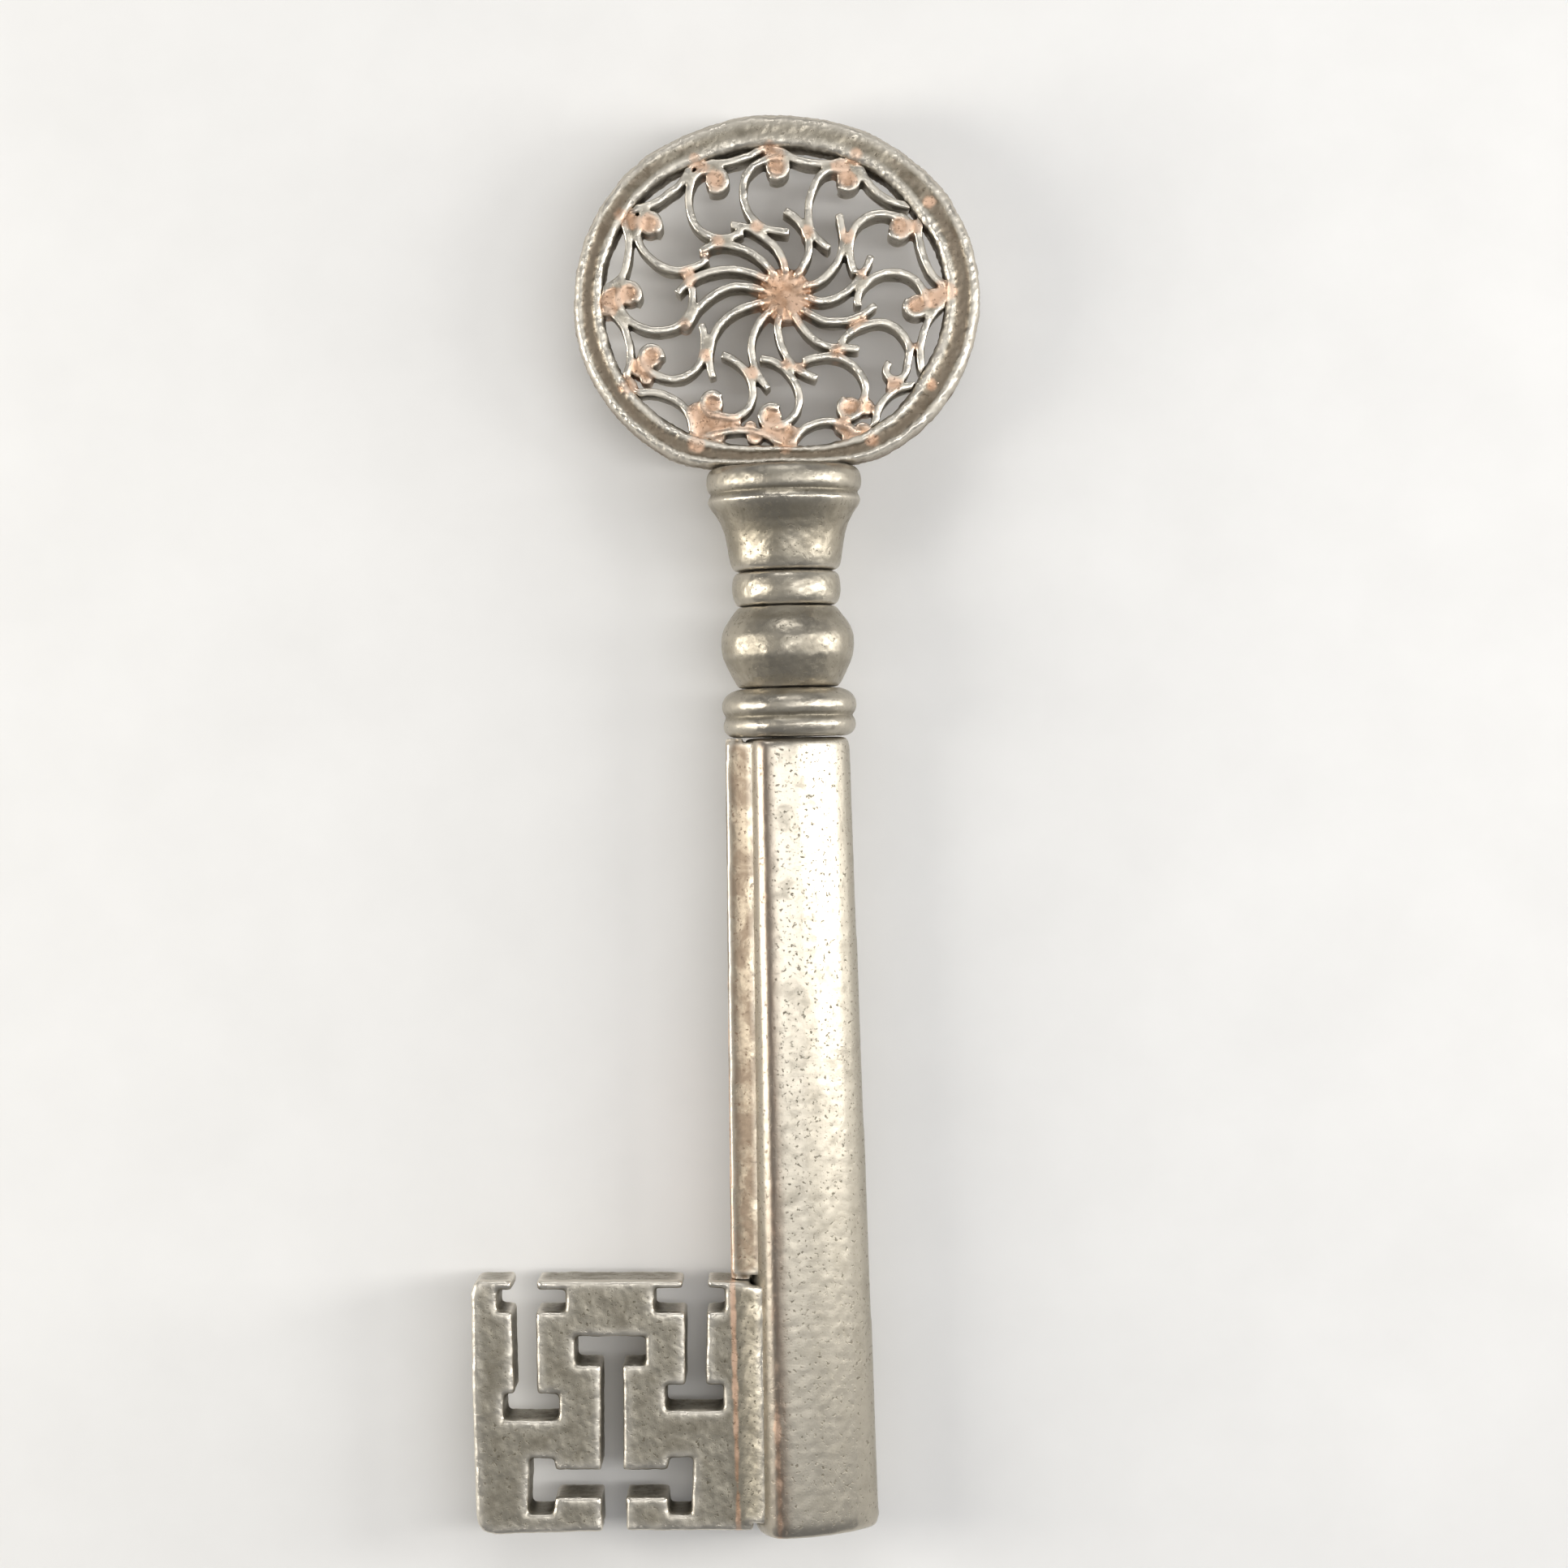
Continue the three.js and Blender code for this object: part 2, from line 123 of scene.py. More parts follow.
# %% Node helpers: noise and colour
def noise_node(tree, vector, scale, detail=4.0, roughness=0.6, distortion=0.0):
    node = tree.nodes.new("ShaderNodeTexNoise")
    node.inputs["Scale"].default_value = scale
    node.inputs["Detail"].default_value = detail
    node.inputs["Roughness"].default_value = roughness
    node.inputs["Distortion"].default_value = distortion
    tree.links.new(vector, node.inputs["Vector"])
    return node.outputs["Fac"]


def ramp_node(tree, value, stops):
    node = tree.nodes.new("ShaderNodeValToRGB")
    for element, (place, colour) in zip(node.color_ramp.elements, stops):
        element.position = place
        element.color = (*colour, 1)
    tree.links.new(value, node.inputs["Fac"])
    return node.outputs["Color"]


def mix_colour(tree, factor, a, b):
    node = tree.nodes.new("ShaderNodeMix")
    node.data_type = "RGBA"
    for socket, value in ((node.inputs[0], factor), (node.inputs[6], a), (node.inputs[7], b)):
        if isinstance(value, tuple):
            socket.default_value = (*value, 1)
        else:
            tree.links.new(value, socket)
    return node.outputs[2]


# %% [markdown]
# ## The grain that every metal shares
# Old iron has three marks at once: tiny rust pits, cloudy mottling a few millimetres wide, and
# streaks along the length, left by the file. A node group makes them once and every metal
# uses it. The scales are waves per metre, because Object coordinates are in metres.

# %% Grain group
PIT_SCALE, MOTTLE_SCALE, STREAK_SCALE, FINE_SCALE = 2600, 420, 1900, 5200
STREAK_STRETCH = 0.16


def make_grain():
    """Masks for pits, mottling and long streaks, and a height that joins them."""
    group, source, sink = new_group(
        "metal_grain", [("Vector", "NodeSocketVector", (0, 0, 0))],
        [("Pits", "NodeSocketFloat"), ("Mottle", "NodeSocketFloat"),
         ("Streaks", "NodeSocketFloat"), ("Height", "NodeSocketFloat")])
    vector = source.outputs["Vector"]
    pits = smooth_step(group, noise_node(group, vector, PIT_SCALE, 3, 0.6), 0.56, 0.7)
    mottle = noise_node(group, vector, MOTTLE_SCALE, 5, 0.62, 0.4)
    stretch = group.nodes.new("ShaderNodeMapping")
    stretch.inputs["Scale"].default_value = (1, STREAK_STRETCH, 1)
    group.links.new(vector, stretch.inputs["Vector"])
    streaks = noise_node(group, stretch.outputs["Vector"], STREAK_SCALE, 4, 0.65)
    fine = noise_node(group, vector, FINE_SCALE, 3, 0.6)
    height = math_node(group, "ADD", math_node(group, "MULTIPLY", streaks, 0.35),
                       math_node(group, "MULTIPLY", fine, 0.35))
    height = math_node(group, "ADD", height, math_node(group, "MULTIPLY", mottle, 0.5))
    height = math_node(group, "SUBTRACT", height, math_node(group, "MULTIPLY", pits, 0.5))
    for label, value in (("Pits", pits), ("Mottle", mottle), ("Streaks", streaks),
                         ("Height", height)):
        group.links.new(value, sink.inputs[label])
    return group


GRAIN = make_grain()
print("grain group:", [socket.name for socket in GRAIN.interface.items_tree])

# %% [markdown]
# ## Iron, patina, wear, painted highlight, painted shade and braze
# Bare iron shows only where hands rub: on edges, which also get a painted highlight. Hollows
# keep an olive-brown patina. Braze is copper-coloured and lies where pieces meet. Three masks,
# stored on each mesh point, say where: wear and painted highlight (positive on edges, negative in
# hollows), braze, and a brown band, which is patina in the ring's channel and painted shade on
# the shank's crest. The grain breaks their borders, so that no patch ends in a clean line.

# %% Colours
LIGHT_IRON = (0.40, 0.36, 0.285)
RING_IRON = (0.36, 0.32, 0.25)
STEM_IRON = (0.40, 0.365, 0.30)
RIB_IRON = (0.30, 0.26, 0.20)
BIT_IRON = (0.33, 0.30, 0.24)
WORN_IRON_SHEEN = (0.74, 0.69, 0.60)
OLIVE = (0.10, 0.085, 0.055)
BROWN = (0.20, 0.13, 0.085)
BRAZE_PALE = (0.76, 0.52, 0.37)
BRAZE_DEEP = (0.44, 0.25, 0.145)
BRAZE_WORN_SHEEN = (0.86, 0.70, 0.56)
BRAZE_PIT = (0.16, 0.09, 0.05)
RELIEF = 0.00012


# %% Parts of a metal
def mask_outputs(tree):
    """The three masks that the mesh carries."""
    masks = {}
    for label in ("wear_and_sheen", "braze", "brown_patina_and_shade"):
        node = tree.nodes.new("ShaderNodeAttribute")
        node.attribute_name = label
        masks[label] = node.outputs["Fac"]
    return masks


def iron_colour(tree, masks, grain, base, shade, shade_amount, patches):
    """Base iron under patina, a brown band (patina on the ring, painted shade on the shank) and
    wear with a painted highlight; also how dark and how worn and lit it is.
    """
    patina = smooth_step(tree, grain["Mottle"], 0.62 - 0.35 * shade_amount,
                         0.78 - 0.2 * shade_amount)
    patina = math_node(tree, "MULTIPLY", patina, patches)
    hollow = math_node(tree, "MULTIPLY", masks["wear_and_sheen"], -1.6)
    hollow = math_node(tree, "MULTIPLY", hollow, 1.0, True)
    dark = math_node(tree, "MAXIMUM", patina, hollow)
    dark = math_node(tree, "MAXIMUM", dark, math_node(tree, "MULTIPLY", grain["Pits"], 0.8))
    colour = mix_colour(tree, dark, base, shade)
    # A streaked brown band: patina in the ring's channel, painted shade on the shank's crest.
    streaked = math_node(tree, "MULTIPLY", grain["Streaks"], 1.1)
    streaked = math_node(tree, "ADD", streaked, 0.2)
    band = math_node(tree, "MULTIPLY", masks["brown_patina_and_shade"], streaked, True)
    colour = mix_colour(tree, band, colour, BROWN)
    # Lighter edges: real wear, and also a painted highlight.
    worn_and_sheen = math_node(tree, "MULTIPLY", masks["wear_and_sheen"], 1.5, True)
    colour = mix_colour(tree, math_node(tree, "MULTIPLY", worn_and_sheen, 0.85), colour, WORN_IRON_SHEEN)
    return colour, dark, worn_and_sheen


def add_braze(tree, masks, grain, colour, worn_and_sheen):
    """Copper over the iron, with a border that the mottling breaks."""
    uneven = math_node(tree, "SUBTRACT", grain["Mottle"], 0.5)
    edge = math_node(tree, "ADD", masks["braze"], math_node(tree, "MULTIPLY", uneven, 1.6))
    braze = math_node(tree, "MULTIPLY", smooth_step(tree, edge, 0.32, 0.85), 0.85)
    tone = smooth_step(tree, grain["Mottle"], 0.38, 0.62)
    copper = mix_colour(tree, tone, BRAZE_DEEP, BRAZE_PALE)
    # Paler copper on edges: wear, and also a painted highlight.
    copper = mix_colour(tree, math_node(tree, "MULTIPLY", worn_and_sheen, 0.6), copper, BRAZE_WORN_SHEEN)
    copper = mix_colour(tree, math_node(tree, "MULTIPLY", grain["Pits"], 0.7), copper, BRAZE_PIT)
    return mix_colour(tree, braze, colour, copper)


# %% A metal
def make_metal(name, base=LIGHT_IRON, shade=OLIVE, shade_amount=0.5, rough=0.42, bump=0.35,
               patches=0.75):
    """Iron with patina in its hollows, wear and a painted highlight on its edges and braze where
    the mask says so.
    """
    material = bpy.data.materials.new(name)
    material.use_nodes = True
    tree = material.node_tree
    tree.nodes.clear()
    out = tree.nodes.new("ShaderNodeOutputMaterial")
    shader = tree.nodes.new("ShaderNodeBsdfPrincipled")
    tree.links.new(shader.outputs["BSDF"], out.inputs["Surface"])
    shared = tree.nodes.new("ShaderNodeGroup")
    shared.node_tree = GRAIN
    coords = tree.nodes.new("ShaderNodeTexCoord").outputs["Object"]
    tree.links.new(coords, shared.inputs["Vector"])
    grain = shared.outputs
    masks = mask_outputs(tree)
    colour, dark, worn_and_sheen = iron_colour(tree, masks, grain, base, shade, shade_amount, patches)
    colour = add_braze(tree, masks, grain, colour, worn_and_sheen)
    tree.links.new(colour, shader.inputs["Base Color"])
    roughness = math_node(tree, "ADD", math_node(tree, "MULTIPLY", dark, 0.26), rough)
    polish = math_node(tree, "MULTIPLY", worn_and_sheen, 0.1)
    roughness = math_node(tree, "SUBTRACT", roughness, polish, True)
    tree.links.new(roughness, shader.inputs["Roughness"])
    dull = math_node(tree, "MULTIPLY", dark, 0.35)
    tree.links.new(math_node(tree, "SUBTRACT", 0.95, dull, True), shader.inputs["Metallic"])
    relief = tree.nodes.new("ShaderNodeBump")
    relief.inputs["Strength"].default_value = bump
    relief.inputs["Distance"].default_value = RELIEF
    tree.links.new(grain["Height"], relief.inputs["Height"])
    tree.links.new(relief.outputs["Normal"], shader.inputs["Normal"])
    return material


# %% The six metals
BOW_METAL = make_metal("bow_iron", rough=0.40)
RING_METAL = make_metal("ring_iron", RING_IRON, shade_amount=0.62, rough=0.44, bump=0.5)
NECK_METAL = make_metal("neck_iron", RING_IRON, shade_amount=0.7, rough=0.34, bump=0.2,
                        patches=0.5)
STEM_METAL = make_metal("stem_iron", STEM_IRON, shade_amount=0.4, rough=0.34, bump=0.16,
                        patches=0.3)
RIB_METAL = make_metal("rib_iron", RIB_IRON, shade=BROWN, shade_amount=0.8, rough=0.42,
                       bump=0.25, patches=0.55)
BIT_METAL = make_metal("bit_iron", BIT_IRON, shade_amount=0.5, rough=0.42, bump=0.3,
                       patches=0.5)
print("metals:", [material.name for material in bpy.data.materials])

# %% [markdown]
# ## Dressing the nodes
# Filed and brazed iron has no sharp edges and no open seams. The named solids are copied,
# joined and voxel remeshed, which fuses whatever overlaps, and the result is smoothed a little.
# How far smoothing moves a point also tells an edge from a hollow: that is the mask of wear and
# painted highlight on edges, and of patina in hollows. A few crossed waves then roughen the
# surface, so that light breaks on it as on hammered work.

# %% Reading and moving points
def points_of(mesh):
    co = np.empty(len(mesh.vertices) * 3)
    mesh.vertices.foreach_get("co", co)
    return co.reshape(-1, 3)


def normals_of(mesh):
    normal = np.empty(len(mesh.vertices) * 3)
    mesh.vertices.foreach_get("normal", normal)
    return normal.reshape(-1, 3)


def edges_of(mesh):
    ends = np.empty(len(mesh.edges) * 2, dtype=np.int64)
    mesh.edges.foreach_get("vertices", ends)
    return ends.reshape(-1, 2)


def relax(co, edges, rounds, amount=0.5):
    """Each point drawn toward the middle of its neighbours, round after round."""
    count = np.bincount(edges.ravel(), minlength=len(co)).clip(1)[:, None]
    for _ in range(rounds):
        total = np.zeros_like(co)
        for axis in range(co.shape[1]):
            total[:, axis] = (np.bincount(edges[:, 0], co[edges[:, 1], axis], len(co))
                              + np.bincount(edges[:, 1], co[edges[:, 0], axis], len(co)))
        co = co + amount * (total / count - co)
    return co


WAVES = 14


def wobble(co, scale, seed):
    """A smooth height per point, from a few crossed waves."""
    random = np.random.default_rng(seed)
    height = np.zeros(len(co))
    for _ in range(WAVES):
        wave = random.normal(size=3) * scale
        height += np.sin(co @ wave + random.uniform(0, 2 * math.pi))
    return height / WAVES ** 0.5


# %% Copies, modifiers and masks
def mesh_from(bm, name):
    mesh = bpy.data.meshes.new(name)
    bm.to_mesh(mesh)
    bm.free()
    return mesh


def joined_copy(name, meshes):
    """One new object that holds copies of all the meshes."""
    bm = bmesh.new()
    for mesh in meshes:
        bm.from_mesh(mesh)
    piece = bpy.data.objects.new(name, mesh_from(bm, name))
    bpy.context.scene.collection.objects.link(piece)
    return piece


def swell_out(mesh, swell):
    """Every point pushed out along its normal, so that narrow seams close."""
    bm = bmesh.new()
    bm.from_mesh(mesh)
    bmesh.ops.remove_doubles(bm, verts=bm.verts, dist=1e-7)
    bm.normal_update()
    moves = [(v, v.normal.copy()) for v in bm.verts]
    for v, normal in moves:
        v.co += normal * swell
    bm.to_mesh(mesh)
    bm.free()


def apply_modifiers(piece):
    graph = bpy.context.evaluated_depsgraph_get()
    mesh = bpy.data.meshes.new_from_object(piece.evaluated_get(graph))
    piece.modifiers.clear()
    old = piece.data
    piece.data = mesh
    bpy.data.meshes.remove(old)
    mesh.name = piece.name


def set_mask(mesh, name, values):
    attribute = mesh.attributes.new(name, "FLOAT", "POINT")
    attribute.data.foreach_set("value", np.asarray(values, dtype=np.float32))


# %% Dress
COARSE_WAVE, FINE_WAVE, FINE_SHARE = 2600, 7000, 0.6
CALM_ROUNDS, WIDE_ROUNDS, MASK_ROUNDS = 6, 26, 5


def wear_and_sheen_mask(sharp, normal, edges, reach):
    """Positive where smoothing would cut an edge down, negative where it would fill a hollow."""
    calm = relax(sharp, edges, CALM_ROUNDS)
    wear_and_sheen = ((calm - relax(calm, edges, WIDE_ROUNDS)) * normal).sum(1)
    return np.clip(relax(wear_and_sheen[:, None], edges, MASK_ROUNDS)[:, 0] / reach, -1, 1)


def thin_out(piece, limit):
    triangles = sum(len(p.vertices) - 2 for p in piece.data.polygons)
    if triangles > limit:
        thin = piece.modifiers.new("thin", "DECIMATE")
        thin.ratio = limit / triangles
        apply_modifiers(piece)


def dress(name, nodes, material, voxel, rounds, rough, seed, swell=0.0, extra=(),
          limit=180000, masks=None, wear_and_sheen_reach=0.8, source=None):
    """One dressed piece in place of the nodes. A source mesh stands in for the nodes' own."""
    own = [source] if source else [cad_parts[node].data for node in nodes]
    piece = joined_copy(name, [*own, *extra])
    if swell:
        swell_out(piece.data, swell)
    remesh = piece.modifiers.new("remesh", "REMESH")
    remesh.mode = "VOXEL"
    remesh.voxel_size = voxel
    remesh.adaptivity = 0.0
    apply_modifiers(piece)
    mesh = piece.data
    edges, sharp, normal = edges_of(mesh), points_of(mesh), normals_of(mesh)
    soft = relax(sharp, edges, rounds)
    co = soft + normal * (rough * wobble(soft, COARSE_WAVE, seed)
                          + rough * FINE_SHARE * wobble(soft, FINE_WAVE, seed + 1))[:, None]
    mesh.vertices.foreach_set("co", co.ravel())
    mesh.update()
    # This mask gives edges wear and a painted highlight, and gives hollows their patina.
    set_mask(mesh, "wear_and_sheen", wear_and_sheen_mask(sharp, normal, edges, voxel * wear_and_sheen_reach))
    painted = masks(co) if masks else {}
    for label in ("braze", "brown_patina_and_shade"):
        set_mask(mesh, label, painted.get(label, np.zeros(len(co))))
    thin_out(piece, limit)
    mesh = piece.data
    mesh.polygons.foreach_set("use_smooth", [True] * len(mesh.polygons))
    mesh.materials.clear()
    mesh.materials.append(material)
    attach(piece, "root")
    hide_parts(*nodes)
    print(f"{name}: {len(nodes)} nodes, {len(mesh.polygons)} faces")


# %% [markdown]
# ## The bow: beads of braze
# Each strip of the rosette is brazed to the next wherever they touch. Melted braze gathers
# there as a small bead. Every bead is the same drum with its own reach, so Geometry Nodes set
# one drum on each measured place, and scale it by a number that the place carries. The strips
# and beads are fused afterwards, when the whole openwork is dressed.

# %% Where the beads lie
# Place on the photograph and reach, in its units: where rim arcs meet the ring, where scrolls
# and spokes touch, and where braze has filled a corner.
CUSPS = [(948, 184, 11), (1054, 196, 12), (1143, 254, 11), (1168, 362, 14), (1146, 478, 12),
         (1074, 545, 13), (968, 552, 14), (858, 549, 14), (772, 480, 14), (748, 379, 14),
         (768, 268, 13), (857, 200, 11)]
JOINTS = [(884, 301, 5), (933, 284, 5), (994, 292, 6), (1043, 297, 6), (1061, 341, 5),
          (1062, 397, 5), (1052, 403, 6), (1030, 437, 8), (985, 456, 6), (968, 452, 5),
          (926, 462, 6), (870, 440, 6), (845, 404, 6), (850, 351, 5), (848, 341, 6),
          (868, 317, 5)]
FILLS = [(956, 196, 10), (1036, 212, 9), (1125, 284, 9), (1148, 370, 11), (1126, 430, 4),
         (1100, 479, 8), (1066, 504, 10), (951, 531, 12), (868, 520, 15), (885, 525, 13),
         (858, 508, 9), (790, 456, 12), (758, 370, 11), (780, 278, 9), (866, 213, 6),
         (905, 524, 8), (1062, 533, 10), (797, 470, 7), (930, 541, 9), (975, 536, 9),
         (1038, 528, 10), (885, 541, 8), (1046, 544, 9), (925, 528, 7)]
# Middles of the scrolls' eyes that are filled.
EYES = [(956, 211), (1043, 225), (1107, 284), (1128, 379), (1047, 504), (951, 515), (879, 500),
        (804, 443), (776, 366), (801, 281), (882, 227)]
EYE_FILL = 12
EYE_PLACES = [(x, y, EYE_FILL) for x, y in EYES]
BEAD_DEPTH = 0.0043
BEAD_SIDES = 16


# %% The tree of the beads
def bead_tree():
    """Drums on points. Inputs: the places, the drums' depth and their material."""
    tree = bpy.data.node_groups.new("braze_beads", "GeometryNodeTree")
    new_socket = tree.interface.new_socket
    new_socket("Geometry", in_out="INPUT", socket_type="NodeSocketGeometry")
    depth = new_socket("Depth", in_out="INPUT", socket_type="NodeSocketFloat")
    depth.default_value = BEAD_DEPTH
    metal = new_socket("Material", in_out="INPUT", socket_type="NodeSocketMaterial")
    new_socket("Geometry", in_out="OUTPUT", socket_type="NodeSocketGeometry")
    source, sink = tree.nodes.new("NodeGroupInput"), tree.nodes.new("NodeGroupOutput")
    drum = tree.nodes.new("GeometryNodeMeshCylinder")
    drum.inputs["Vertices"].default_value = BEAD_SIDES
    drum.inputs["Radius"].default_value = 1.0
    named = tree.nodes.new("GeometryNodeInputNamedAttribute")
    named.data_type = "FLOAT"
    named.inputs["Name"].default_value = "reach"
    scale = tree.nodes.new("ShaderNodeCombineXYZ")
    scale.inputs["Z"].default_value = 1.0
    scatter = tree.nodes.new("GeometryNodeInstanceOnPoints")
    real = tree.nodes.new("GeometryNodeRealizeInstances")
    paint = tree.nodes.new("GeometryNodeSetMaterial")
    link = tree.links.new
    link(source.outputs["Depth"], drum.inputs["Depth"])
    link(named.outputs["Attribute"], scale.inputs["X"])
    link(named.outputs["Attribute"], scale.inputs["Y"])
    link(source.outputs["Geometry"], scatter.inputs["Points"])
    link(drum.outputs["Mesh"], scatter.inputs["Instance"])
    link(scale.outputs["Vector"], scatter.inputs["Scale"])
    link(scatter.outputs["Instances"], real.inputs["Geometry"])
    link(real.outputs["Geometry"], paint.inputs["Geometry"])
    link(source.outputs["Material"], paint.inputs["Material"])
    link(paint.outputs["Geometry"], sink.inputs["Geometry"])
    return tree, metal.identifier


# %% Beads as a plain mesh
def bead_mesh():
    """All beads, as the tree makes them, turned into one plain mesh."""
    places = CUSPS + JOINTS + FILLS + EYE_PLACES
    cloud = bpy.data.meshes.new("bead_places")
    cloud.from_pydata([(*at(x, y), AXIS_Z) for x, y, _ in places], [], [])
    reach = cloud.attributes.new("reach", "FLOAT", "POINT")
    reach.data.foreach_set("value", [r * UNIT for _, _, r in places])
    holder = bpy.data.objects.new("beads", cloud)
    bpy.context.scene.collection.objects.link(holder)
    tree, metal = bead_tree()
    modifier = holder.modifiers.new("beads", "NODES")
    modifier.node_group = tree
    modifier[metal] = BOW_METAL
    graph = bpy.context.evaluated_depsgraph_get()
    mesh = bpy.data.meshes.new_from_object(holder.evaluated_get(graph))
    bpy.data.objects.remove(holder)
    print(f"beads of braze: {len(places)}")
    return mesh


# %% [markdown]
# ## The bow: ridges on the hub
# The twelve spokes don't stop at the hub. They run on over its braze and bend toward the
# middle. Each is a short strip with a square section, lofted along five places, and a little
# lower toward the middle.

# %% Ridges
HUB = (967, 367)
HUB_REACH = 34
# Inner ends of the spokes, clockwise from one o'clock.
SPOKE_ROOTS = [(981, 343), (992, 355), (995, 369), (990, 385), (979, 391), (960, 395),
               (947, 388), (939, 376), (939, 361), (945, 348), (954, 342), (968, 339)]
RIDGE_HALF = 0.00027
RIDGE_TOP = 0.00215
RIDGE_FALL = 0.03
RIDGE_BEND = 0.3
RIDGE_STEPS = (-0.15, 0.15, 0.4, 0.62, 0.8)


def ridge_rings(bm, root):
    """The square sections of one ridge, from its root inward."""
    start, middle = np.array(at(*root)), np.array(at(*HUB))
    inward = middle - start
    side = np.array((-inward[1], inward[0]))
    path = [start + inward * t + side * RIDGE_BEND * t * t for t in RIDGE_STEPS]
    rings = []
    for i, place in enumerate(path):
        way = path[min(i + 1, len(path) - 1)] - path[max(i - 1, 0)]
        across = np.array((-way[1], way[0])) / np.hypot(*way) * RIDGE_HALF
        z = RIDGE_TOP * (1 - RIDGE_FALL * i)
        rings.append([bm.verts.new((*(place + across * a), AXIS_Z + z * b))
                      for a, b in ((1, 1), (-1, 1), (-1, -1), (1, -1))])
    return rings


def bridge(bm, rings):
    """A closed skin over a row of rings."""
    count = len(rings[0])
    for a, b in zip(rings, rings[1:]):
        for k in range(count):
            bm.faces.new((a[k], a[(k + 1) % count], b[(k + 1) % count], b[k]))
    bm.faces.new(rings[0])
    bm.faces.new(rings[-1])


def ridge_mesh():
    bm = bmesh.new()
    for root in SPOKE_ROOTS:
        bridge(bm, ridge_rings(bm, root))
    bmesh.ops.recalc_face_normals(bm, faces=bm.faces)
    return mesh_from(bm, "ridges")


# %% [markdown]
# ## The bow: where copper and patina show
# Copper colours the beads and a little of the iron round them. On the ring it shows only where
# the rim arcs meet it. The channel of the ring's face was never rubbed, so patina stays in it.
# A mask fades over twelve units past a place, and the material breaks that fade into flecks.

# %% Masks of the bow
FADE = 12.0
HUB_FADE = 16
RING_HALF = 0.0026
CHANNEL_START, CHANNEL_FADE, CHANNEL_STAIN = 0.0001, 0.00016, 0.42


def near(co, places, grow, soft=FADE):
    """1 at the places, falling to 0 past their reach."""
    mask = np.zeros(len(co))
    for x, y, reach in places:
        cx, cy = at(x, y)
        away = np.hypot(co[:, 0] - cx, co[:, 1] - cy) / UNIT
        mask = np.maximum(mask, np.clip((reach + grow + soft / 2 - away) / soft, 0, 1))
    return mask


def bow_masks(co):
    braze = np.maximum(near(co, CUSPS, 4), near(co, JOINTS, 3))
    braze = np.maximum(braze, near(co, FILLS, 3))
    braze = np.maximum(braze, near(co, EYE_PLACES, 1))
    braze = np.maximum(braze, near(co, [(*HUB, HUB_REACH)], 8, HUB_FADE))
    return {"braze": braze}


def ring_masks(co):
    depth = RING_HALF - np.abs(co[:, 2] - AXIS_Z)
    channel = np.clip((depth - CHANNEL_START) / CHANNEL_FADE, 0, 1)
    return {"braze": near(co, CUSPS, -4), "brown_patina_and_shade": channel * CHANNEL_STAIN}


# %% Ring and openwork
OPENWORK_KINDS = ("rim", "scroll", "spoke", "eye", "hub")
openwork = [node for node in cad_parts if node.split("_")[0] in OPENWORK_KINDS]
dress("bow_ring_iron", ["bow_ring"], RING_METAL, voxel=0.00018, rounds=5,
      rough=0.00004, seed=3, masks=ring_masks)
dress("bow_openwork", openwork, BOW_METAL, voxel=0.000115, rounds=5,
      rough=0.00002, seed=5, swell=0.00005, extra=[bead_mesh(), ridge_mesh()],
      limit=195000, masks=bow_masks)

# %% [markdown]
# ## The neck
# The mouldings of the neck were turned, so they are round, and their grooves keep patina. The
# CAD solids have flat sides that would show in a reflection. Their profiles are read back from
# the solids and revolved again with 120 sides, so the shape stays and the sides vanish.

# %% Neck
NECK_SIDES = 120


def profile_of(node):
    """The profile of a turned node, as (y, radius) from one end to the other."""
    co = points_of(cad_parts[node].data)
    radius = np.hypot(co[:, 0] - AXIS_X, co[:, 2] - AXIS_Z)
    rows = {}
    for y, r in zip(co[:, 1].round(6), radius):
        rows[y] = max(rows.get(y, 0), r)
    return sorted(rows.items())


def revolve(profile):
    """A closed revolved mesh with many more sides than the CAD solid."""
    turn = [2 * math.pi * k / NECK_SIDES for k in range(NECK_SIDES)]
    rings = [(AXIS_X + r * math.cos(a), y, AXIS_Z + r * math.sin(a))
             for y, r in profile for a in turn]
    last = len(profile) - 1
    faces = [(i * NECK_SIDES + k, i * NECK_SIDES + (k + 1) % NECK_SIDES,
              (i + 1) * NECK_SIDES + (k + 1) % NECK_SIDES, (i + 1) * NECK_SIDES + k)
             for i in range(last) for k in range(NECK_SIDES)]
    faces.append(tuple(range(NECK_SIDES)))
    faces.append(tuple(last * NECK_SIDES + k for k in reversed(range(NECK_SIDES))))
    mesh = bpy.data.meshes.new("revolved")
    mesh.from_pydata(rings, [], faces)
    bm = bmesh.new()
    bm.from_mesh(mesh)
    bmesh.ops.recalc_face_normals(bm, faces=bm.faces)
    bm.to_mesh(mesh)
    bm.free()
    return mesh


for label, seed in (("capital", 11), ("neck_bead", 13), ("knop", 17), ("collar", 19)):
    dress(label + "_iron", [label], NECK_METAL, voxel=0.00014, rounds=7,
          rough=0.000012, seed=seed, wear_and_sheen_reach=1.2, source=revolve(profile_of(label)))

# %% [markdown]
# ## The shank, its rib and the bit
# The shank is smooth from handling, so it gets hardly any roughness and more smoothing than
# the rest. A brown band along its crest, on its top only, is painted shade; copper lies in it
# near the bit. Rib and bit are brazed to its flat side, and the braze fills the corner as a cove.
# The cove is a lofted strip that is fused with the rib or the bit, and a thin copper line marks
# the seam.

# %% Masks of the stem
FRONT_HEIGHT = 0.003
